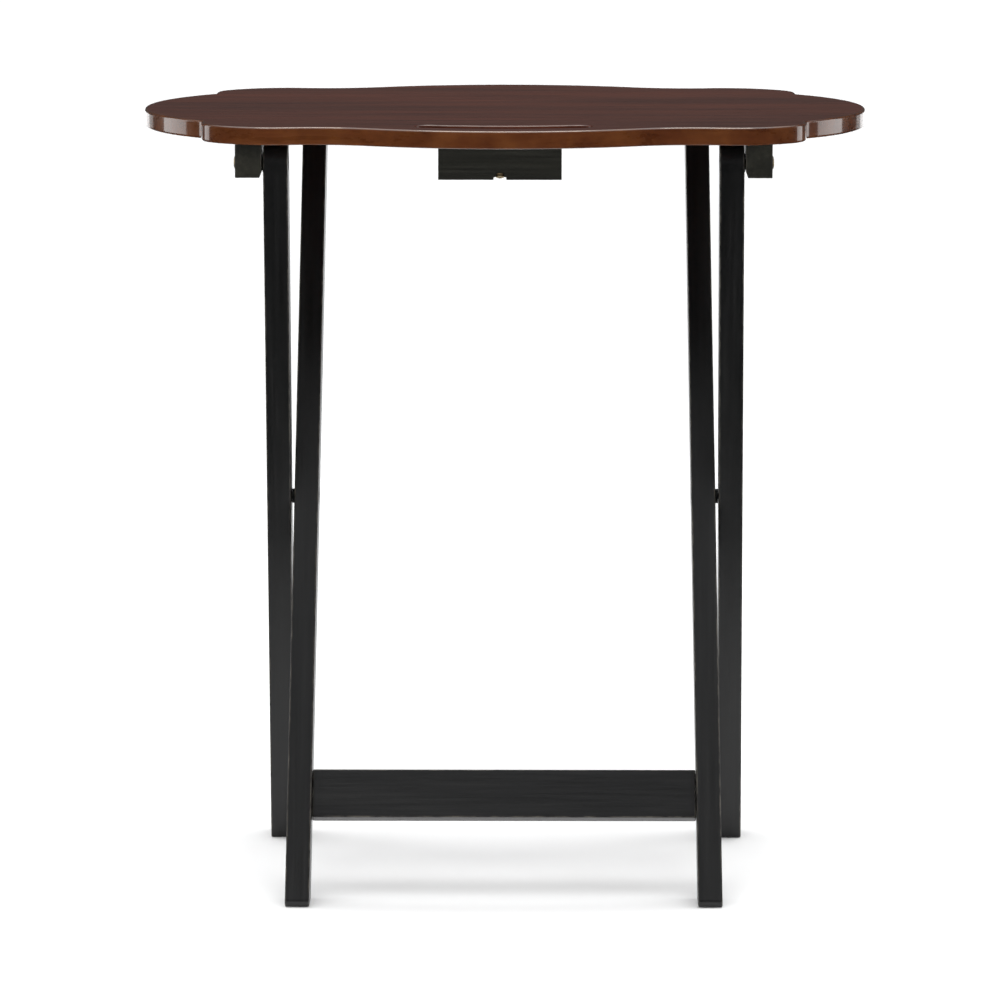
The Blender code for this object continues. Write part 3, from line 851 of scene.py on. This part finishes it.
def build_cleat(label, side):
    """A batten with a crisp outer edge and a chamfer along its inner lower edge."""
    height = CLEAT_HEIGHT - GAP
    half = CLEAT_WIDTH / 2
    wide, tall = CLEAT_CHAMFER
    corners = [
        (-half, 0.0),
        (half, 0.0),
        (half, -height),
        (wide - half, -height),
        (-half, tall - height),
    ]
    ends = (-CLEAT_HALF_LENGTH, CLEAT_HALF_LENGTH)
    rings = [[(side * x, y, z) for x, z in corners] for y in ends]
    cleat = new_object(f"cleat_{label}_batten", loft(rings))
    put(cleat, (side * CLEAT_X, 0.0, UNDERSIDE - GAP))
    soften(cleat, CLEAT_ARRIS)
    bore(cleat, side, HINGE, CLEAT_INNER - PAST, CLEAT_INNER + CLEAT_WIDTH + PAST, BOLT_HOLE)
    for y in CLEAT_SCREWS_Y:
        screw_seat(cleat, (side * CLEAT_X, y, BATTEN_BOTTOM))
    materials = pair(black_wood, f"cleat_{label}", Y, 3.1 + side)
    show(cleat, f"cleat_{label}", "top", "black_wood", materials)


def screw_seat(piece, mouth):
    """A counterbore from below, and the screw's hole above it."""
    seat(piece, mouth, UP, HEAD_HOLE, SCREW_SINK + SCREW_HEAD + GAP)
    hole(piece, mouth, UP, SCREW_HOLE, THROUGH_BATTEN)


def build_block():
    """The block behind the slot, notched below for a screw that slants up into the board."""
    height = CLEAT_HEIGHT - GAP
    block = new_object("grip_block_wood", box((BLOCK_WIDTH, BLOCK_DEPTH, height)))
    put(block, (BLOCK_X, BLOCK_Y, UNDERSIDE - GAP - height / 2))
    notch = new_object("notch_cutter", box((NOTCH_WIDTH, 2 * BLOCK_DEPTH, 2 * NOTCH_DEPTH)))
    cut(block, put(notch, (BLOCK_X, BLOCK_Y, BATTEN_BOTTOM)))
    soften(block, BLOCK_ARRIS)
    for side in (-1, 1):
        screw_seat(block, (BLOCK_X + side * BLOCK_SCREWS_X, BLOCK_Y, BATTEN_BOTTOM))
    crown, slope = brass_screw_place()
    hole(block, crown - LONG_PAST * slope, slope, HEAD_HOLE, LONG_PAST + SCREW_HEAD + GAP)
    hole(block, crown, slope, SCREW_HOLE, THROUGH_BATTEN)
    show(block, "grip_block", "top", "black_wood", pair(black_wood, "grip_block", X, 6.2))


def brass_screw_place():
    """Where the slanted screw's crown is, and the direction of its shank."""
    slope = Vector((0.0, math.cos(BRASS_SCREW_TILT), math.sin(BRASS_SCREW_TILT)))
    crown = Vector((BLOCK_X, BLOCK_FRONT + BRASS_SCREW_IN, BATTEN_BOTTOM + BRASS_SCREW_UP))
    return crown, slope


def clip_outline():
    """A clip's side view about the crossbar: flange at the rear, bend, arm below, lip in front."""
    thick = CLIP_THICKNESS
    hug = CROSSBAR_RADIUS + CLIP_PLAY
    top = HINGE_DROP - GAP
    back = hug + thick
    below = -back
    return rounded(
        [
            (CLIP_REAR, top, 0.0),
            (hug, top, 2.5 * thick),
            (hug, -hug, hug),
            (-CLIP_LIP + CLIP_FLARE, -hug, 4 * thick),
            (-CLIP_LIP, -hug - CLIP_FLARE_DROP, 0.0),
            (-CLIP_LIP - CLIP_FLARE_END, below - CLIP_FLARE_DROP, 0.0),
            (-CLIP_LIP + CLIP_FLARE, below, 3 * thick),
            (back, below, back),
            (back, top - thick, 1.5 * thick),
            (CLIP_REAR, top - thick, 0.0),
        ]
    )


def build_clip(label, side):
    """A spring clip round the crossbar, screwed to the board by its flange."""
    strip = prism(clip_outline(), -CLIP_WIDTH / 2, CLIP_WIDTH / 2)
    clip = new_object(f"crossbar_clip_{label}_strip", strip)
    put(clip, (side * CLIP_X, CROSSBAR.y, CROSSBAR.z))
    soften(clip, CLIP_ARRIS, 2)
    for shift in (-CLIP_SCREW_IN, CLIP_SCREW_IN):
        start = (side * (CLIP_X + shift), CROSSBAR.y + CLIP_SCREW_Y, UNDERSIDE - PAST)
        hole(clip, start, UP, SCREW_HOLE, 2 * PAST)
    show(clip, f"crossbar_clip_{label}", "top", "spring_steel", (spring_steel, spring_steel))


def put_screw(node, body, crown, direction, length, slot="black_steel", look=black_steel):
    """A screw for a CAD node."""
    screw = make_screw(node + "_pan", crown, direction, length)
    show(screw, node, body, slot, (look,))


def build_board_screws():
    """The screws that go up into the board: from the cleats, the block and the clips."""
    sunk = BATTEN_BOTTOM + SCREW_SINK
    length = UNDERSIDE + SCREW_BITE - sunk
    flange = UNDERSIDE - GAP - CLIP_THICKNESS - GAP - SCREW_HEAD
    for label, side in SIDES:
        for where, y in zip(("front", "rear"), CLEAT_SCREWS_Y):
            node = f"cleat_screw_{label}_{where}"
            put_screw(node, "top", (side * CLEAT_X, y, sunk), UP, length)
        crown = (BLOCK_X + side * BLOCK_SCREWS_X, BLOCK_Y, sunk)
        put_screw(f"block_screw_{label}", "top", crown, UP, length)
        for where, shift in (("inner", -CLIP_SCREW_IN), ("outer", CLIP_SCREW_IN)):
            node = f"clip_screw_{label}_{where}"
            crown = (side * (CLIP_X + shift), CROSSBAR.y + CLIP_SCREW_Y, flange)
            put_screw(node, "top", crown, UP, CLIP_SCREW_LENGTH, "zinc_steel", zinc)
    crown, slope = brass_screw_place()
    put_screw("block_screw_brass", "top", crown, slope, BRASS_SCREW_LENGTH, "brass", brass)


# The leg frames


def build_outer_leg(label, side):
    """A leg of the frame that carries the board's hinges. Its foot is at the rear."""
    leg = make_leg(f"outer_leg_{label}_wood", side, OUTER_FACE, LEAN)
    leg_in = face_at(OUTER_FACE, -UPPER_LENGTH) - LEG_WIDTH
    bore(leg, side, HINGE, leg_in - PAST, leg_in + LEG_WIDTH + PAST, BOLT_HOLE)
    recess(leg, side, HINGE, leg_in, NUT_RECESS, 1)
    bore(leg, side, CROSSING, INNER_FACE, OUTER_FACE + PAST, BOLT_HOLE)
    recess(leg, side, CROSSING, OUTER_FACE, HEAD_RECESS, -1)
    materials = pair(black_wood, f"outer_leg_{label}", Z, 9.3 + side, LEAN, LEG_BLACK)
    show(leg, f"outer_leg_{label}", "outer_legs", "black_wood", materials)


def build_inner_leg(label, side):
    """A leg of the frame with the stretcher and the crossbar. Its foot is in front."""
    leg = make_leg(f"inner_leg_{label}_wood", side, INNER_FACE, -LEAN)
    leg_in = INNER_FACE - LEG_WIDTH
    bore(leg, side, CROSSING, leg_in - PAST, INNER_FACE + PAST, BOLT_HOLE)
    recess(leg, side, CROSSING, leg_in, NUT_RECESS, 1)
    for point, distance in frame_screw_points():
        face = face_at(INNER_FACE, distance)
        inward = (-side, 0, 0)
        start = Vector((side * face, point.y, point.z))
        seat(leg, start, inward, HEAD_HOLE, FRAME_SCREW_SEAT)
        hole(leg, start, inward, SCREW_HOLE, THROUGH_LEG)
    face = face_at(INNER_FACE - LEG_WIDTH, -UPPER_LENGTH)
    recess(leg, side, CROSSBAR, face, CROSSBAR_SEAT, 1, CROSSBAR_RADIUS + GAP)
    materials = pair(black_wood, f"inner_leg_{label}", Z, 14.7 + side, -LEAN, LEG_BLACK)
    show(leg, f"inner_leg_{label}", "inner_frame", "black_wood", materials)


def frame_screw_points():
    """(point, distance below the crossing) of each screw, on the middle line of an inner leg."""
    spread = STRETCHER_SCREW_SPREAD
    places = [STRETCHER_DROP - spread, STRETCHER_DROP + spread, -UPPER_LENGTH]
    return [(CROSSING + INNER_DOWN * distance, distance) for distance in places]


def build_frame_screws(label, side):
    """The screws through an inner leg into the stretcher and the crossbar."""
    names = ("stretcher_screw_{}_upper", "stretcher_screw_{}_lower", "crossbar_screw_{}")
    lengths = (STRETCHER_SCREW_LENGTH, STRETCHER_SCREW_LENGTH, CROSSBAR_SCREW_LENGTH)
    for name, length, (point, distance) in zip(names, lengths, frame_screw_points()):
        face = face_at(INNER_FACE, distance) - FRAME_SCREW_SUNK
        crown = (side * face, point.y, point.z)
        put_screw(name.format(label), "inner_frame", crown, (-side, 0, 0), length)


def build_stretcher():
    """The flat rail between the inner legs, cut to their splay at both ends."""
    half_y, half_z = STRETCHER_DEPTH / 2, STRETCHER_HEIGHT / 2
    reach = face_at(INNER_FACE - LEG_WIDTH, STRETCHER_DROP) - GAP
    rings = []
    for side in (-1, 1):
        corners = ((-half_y, -half_z), (half_y, -half_z), (half_y, half_z), (-half_y, half_z))
        rings.append([(side * (reach - SPLAY * z), y, z) for y, z in corners])
    rail = new_object("stretcher_rail", loft(rings))
    put(rail, CROSSING + INNER_DOWN * STRETCHER_DROP, (-LEAN, 0.0, 0.0))
    soften(rail, LEG_ARRIS)
    materials = pair(black_wood, "stretcher", X, 21.0, -LEAN, LEG_BLACK)
    show(rail, "stretcher", "inner_frame", "black_wood", materials)


def build_crossbar():
    """The dowel let into the tops of the inner legs."""
    reach = face_at(INNER_FACE - LEG_WIDTH, -UPPER_LENGTH) + CROSSBAR_SEAT - GAP
    profile = [
        (CROSSBAR_RADIUS - CROSSBAR_CHAMFER, -reach),
        (CROSSBAR_RADIUS, CROSSBAR_CHAMFER - reach),
        (CROSSBAR_RADIUS, reach - CROSSBAR_CHAMFER),
        (CROSSBAR_RADIUS - CROSSBAR_CHAMFER, reach),
    ]
    dowel = put(new_object("crossbar_rod", turned(profile)), CROSSBAR, facing((1, 0, 0)))
    materials = pair(black_wood, "crossbar", X, 25.0)
    show(dowel, "crossbar_dowel", "inner_frame", "black_wood", materials)


def put_ring(node, kind, side, point, low, high, rim, chamfer, body, slot, look):
    """A washer, spacer or nut for a CAD node, from X = low to X = high."""
    ring = make_ring(f"{node}_{kind}", side, point, low, high, rim, chamfer)
    show(ring, node, body, slot, (look,))


def build_hinge_pin(label, side):
    """The bolt through cleat, washer and outer leg, on which the board turns."""
    leg_out = face_at(OUTER_FACE, -UPPER_LENGTH)
    nut_low = leg_out - LEG_WIDTH + NUT_RECESS - GAP - NUT_HEIGHT
    under = CLEAT_INNER + CLEAT_WIDTH + GAP
    head = (HINGE_HEAD_RADIUS, HINGE_HEAD)
    bolt = make_bolt(f"hinge_bolt_{label}_pan", side, HINGE, under, nut_low + GAP, *head)
    show(bolt, f"hinge_bolt_{label}", "top", "brass", (brass,))
    edges = (leg_out + GAP, CLEAT_INNER - GAP, round_rim(WASHER_RADIUS), WASHER_CHAMFER)
    looks = ("outer_legs", "black_nylon", black_nylon)
    put_ring(f"hinge_washer_{label}", "disc", side, HINGE, *edges, *looks)
    edges = (nut_low, nut_low + NUT_HEIGHT, nut_rim, NUT_CHAMFER)
    put_ring(f"hinge_nut_{label}", "hex", side, HINGE, *edges, "top", "zinc_steel", zinc)


def build_scissor_pin(label, side):
    """The bolt through outer leg, spacer and inner leg, on which the legs turn."""
    nut_low = INNER_FACE - LEG_WIDTH + NUT_RECESS - GAP - NUT_HEIGHT
    under = OUTER_FACE - HEAD_RECESS + GAP
    head = (BOLT_HEAD_RADIUS, BOLT_HEAD)
    bolt = make_bolt(f"scissor_bolt_{label}_pan", side, CROSSING, under, nut_low + GAP, *head)
    show(bolt, f"scissor_bolt_{label}", "outer_legs", "black_steel", (black_steel,))
    low, high = INNER_FACE + GAP, OUTER_FACE - LEG_WIDTH - GAP
    edges = (low, high, round_rim(SPACER_RADIUS), SPACER_CHAMFER)
    looks = ("outer_legs", "black_nylon", black_nylon)
    put_ring(f"scissor_spacer_{label}", "disc", side, CROSSING, *edges, *looks)
    edges = (nut_low, nut_low + NUT_HEIGHT, nut_rim, NUT_CHAMFER)
    looks = ("outer_legs", "zinc_steel", zinc)
    put_ring(f"scissor_nut_{label}", "hex", side, CROSSING, *edges, *looks)


# Studio


def area_light(name, place, target, size, power, colour=(1.0, 1.0, 1.0)):
    """A rectangular light of a size in metres and a power in watts, aimed at the target."""
    data = bpy.data.lights.new(name, "AREA")
    data.shape = "RECTANGLE"
    data.size, data.size_y = size
    data.energy = power
    data.color = colour
    light = bpy.data.objects.new(name, data)
    bpy.context.scene.collection.objects.link(light)
    light.location = place
    aim = Vector(target) - Vector(place)
    light.rotation_euler = aim.to_track_quat("-Z", "Y").to_euler()
    return light


def build_studio():
    """The floor, the black sheet on it that paints shade into reflections, the sky and the lights.
    """
    bm = bmesh.new()
    bmesh.ops.create_grid(bm, x_segments=8, y_segments=8, size=FLOOR_HALF)
    floor = put(new_object("floor", bm), (0.0, 0.0, -FLOOR_DROP))
    floor.data.materials.append(pale_floor())
    build_flag()
    light_world()
    build_lights()
    bpy.context.scene.view_settings.view_transform = "Standard"


def build_lights():
    """Boxes beside the table, a low card behind, a warm gleam overhead and a fill in front."""
    middle = (0.0, 0.0, 0.60)
    area_light("left_box", (-2.43, 0.73, 0.95), middle, (1.1, 1.9), 18.0)
    area_light("right_box", (2.47, 0.55, 0.95), middle, (1.1, 1.9), 20.0)
    card = area_light("rear_card", (0.0, 4.0, 0.22), (0.0, 0.0, 0.22), (7.0, 0.44), 6.0)
    card.visible_camera = card.visible_diffuse = False
    warm = (1.0, 0.88, 0.76)
    gleam = area_light("top_gleam", (0.0, -0.2, 3.2), middle, (1.6, 0.7), 50.0, warm)
    gleam.visible_diffuse = False
    fill = area_light("front_fill", (0.0, -3.0, 1.5), middle, (2.6, 1.2), 55.0)
    fill.visible_glossy = False


def build_flag():
    """A black sheet laid in front and beside the table, met by reflections alone: painted shade in
    what the table's faces reflect. The camera, diffuse light and shadows pass through it.
    """
    steps = range(FLAG_STEPS + 1)
    turns = [math.radians(FLAG_START + FLAG_TURN * i / FLAG_STEPS) for i in steps]
    rings = [[(r * math.cos(t), r * math.sin(t), FLAG_HEIGHT) for t in turns] for r in FLAG_RADII]
    bm = bmesh.new()
    inner, outer = [[bm.verts.new(point) for point in ring] for ring in rings]
    for i in range(FLAG_STEPS):
        bm.faces.new((inner[i], inner[i + 1], outer[i + 1], outer[i]))
    flag = new_object("flag", bm)
    flag.data.materials.append(dark_reflection_sheet())
    flag.visible_camera = flag.visible_diffuse = flag.visible_shadow = False
    return flag


def light_world():
    """A big soft source overhead in a dim room. The camera sees plain white behind the floor."""
    world = bpy.data.worlds.new("studio")
    bpy.context.scene.world = world
    world.use_nodes = True
    tree = world.node_tree
    new, join = tree.nodes.new, tree.links.new
    sky = tree.nodes["Background"]
    split = new("ShaderNodeSeparateXYZ")
    join(new("ShaderNodeTexCoord").outputs["Generated"], split.inputs[0])
    glow = new("ShaderNodeMapRange")
    glow.interpolation_type = "SMOOTHSTEP"
    join(split.outputs["Z"], glow.inputs["Value"])
    for key, value in SKY_GLOW.items():
        glow.inputs[key].default_value = value
    seen = new("ShaderNodeMix")
    join(new("ShaderNodeLightPath").outputs["Is Camera Ray"], seen.inputs["Factor"])
    join(glow.outputs[0], seen.inputs["A"])
    seen.inputs["B"].default_value = 1.0
    join(seen.outputs[0], sky.inputs["Strength"])
    sky.inputs["Color"].default_value = SKY_COLOUR


def build_camera():
    """A long lens in front, a little above the board."""
    data = bpy.data.cameras.new("camera")
    data.sensor_width = 36.0
    data.lens = CAMERA_LENS
    data.shift_x = CAMERA_SHIFT
    data.clip_end = 100.0
    camera = bpy.data.objects.new("camera", data)
    bpy.context.scene.collection.objects.link(camera)
    camera.location = CAMERA_PLACE
    camera.rotation_euler = (math.pi / 2 - CAMERA_PITCH, 0.0, CAMERA_YAW)
    bpy.context.scene.camera = camera


build_board()
build_block()
build_board_screws()
build_stretcher()
build_crossbar()
for label, side in SIDES:
    build_cleat(label, side)
    build_clip(label, side)
    build_outer_leg(label, side)
    build_inner_leg(label, side)
    build_frame_screws(label, side)
    build_hinge_pin(label, side)
    build_scissor_pin(label, side)
build_studio()
build_camera()
